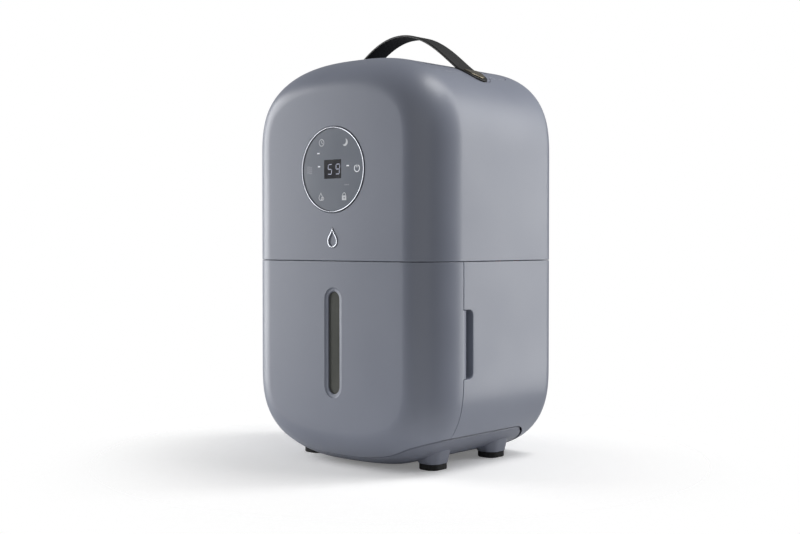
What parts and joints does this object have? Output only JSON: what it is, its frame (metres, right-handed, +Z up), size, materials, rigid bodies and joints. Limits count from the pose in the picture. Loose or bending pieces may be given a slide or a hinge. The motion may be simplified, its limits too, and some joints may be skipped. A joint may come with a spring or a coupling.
{
  "type": "dehumidifier",
  "caption": "Portable compressor dehumidifier: arched grey housing, pull-out front water tank with level window, round touch panel, leather carrying strap and rear air filter.",
  "frame": {"origin": "centre of the footprint on the floor, under the middle of the body", "axes": "+X to the right seen from the front, +Y to the back (the front face looks along -Y), +Z up"},
  "size_m": [0.261, 0.2122, 0.4552],
  "materials": {
    "body_grey": "satin",
    "dark_abs": "matte",
    "inner_abs": "matte",
    "rubber": "matte",
    "leather": "grained",
    "chrome": "polished",
    "gunmetal": "satin",
    "smoked": "gloss",
    "clear_pp": "satin",
    "copper": "satin",
    "aluminium": "mill",
    "black_steel": "satin",
    "steel": "zinc plated",
    "board": "solder mask",
    "foam": "open mesh"
  },
  "bodies": {
    "housing": {"accumulator": "black_steel", "badge": "chrome", "base_tray": "body_grey", "bulkhead": "inner_abs", "capillary_tube": "copper", "compressor_shell": "black_steel", "condenser_fins": "aluminium", "condenser_tube": "copper", "control_board": "board", "control_panel": "body_grey", "control_ring": "chrome", "cord_gland": "rubber", "discharge_pipe": "copper", "display_module": "smoked", "drain_spout": "inner_abs", "drip_tray": "inner_abs", "electronics_box": "inner_abs", "evaporator_fins": "aluminium", "evaporator_tube": "copper", "fan_motor": "steel", "fan_scroll": "dark_abs", "filter_drier": "copper", "foot_pad_front_left": "rubber", "foot_pad_front_right": "rubber", "foot_pad_rear_left": "rubber", "foot_pad_rear_right": "rubber", "grommet_1": "rubber", "grommet_2": "rubber", "grommet_3": "rubber", "humidity_sensor": "board", "level_sensor": "black_steel", "liquid_pipe": "copper", "lower_housing": "body_grey", "power_board": "board", "run_capacitor": "aluminium", "strap": "leather", "strap_plate_left": "gunmetal", "strap_plate_right": "gunmetal", "strap_screw_left": "steel", "strap_screw_right": "steel", "suction_pipe": "copper", "top_grille": "body_grey", "transformer": "black_steel", "upper_housing": "body_grey"},
    "tank": {"tank_front": "body_grey", "tank_window": "smoked", "tank_bucket": "clear_pp", "tank_lid": "inner_abs"},
    "level_float": {"level_float": "inner_abs"},
    "impeller": {"impeller": "dark_abs"},
    "compressor_rotor": {"compressor_rotor": "steel"},
    "rear_filter": {"rear_grille": "body_grey", "filter_mesh": "foam"},
    "drain_plug": {"drain_plug": "rubber"}
  },
  "joints": [
    {"name": "tank_slide", "type": "slide", "parent": "housing", "child": "tank", "axis": [0, -1, 0], "range_m": [0, 0.12]},
    {"name": "float_hinge", "type": "hinge", "parent": "tank", "child": "level_float", "pos_m": [0.048, -0.018, 0.187], "axis": [-1, 0, 0], "range_deg": [0, 22]},
    {"name": "fan_spin", "type": "hinge", "parent": "housing", "child": "impeller", "pos_m": [0, 0.0135, 0.306], "axis": [0, 1, 0], "continuous": true},
    {"name": "rotor_spin", "type": "hinge", "parent": "housing", "child": "compressor_rotor", "pos_m": [0.042, 0.0495, 0.1], "axis": [0, 0, 1], "continuous": true},
    {"name": "filter_pull", "type": "slide", "parent": "housing", "child": "rear_filter", "axis": [0, 1, 0], "range_m": [0, 0.05]},
    {"name": "drain_plug_pull", "type": "slide", "parent": "housing", "child": "drain_plug", "axis": [0, 1, 0], "range_m": [0, 0.025]}
  ]
}
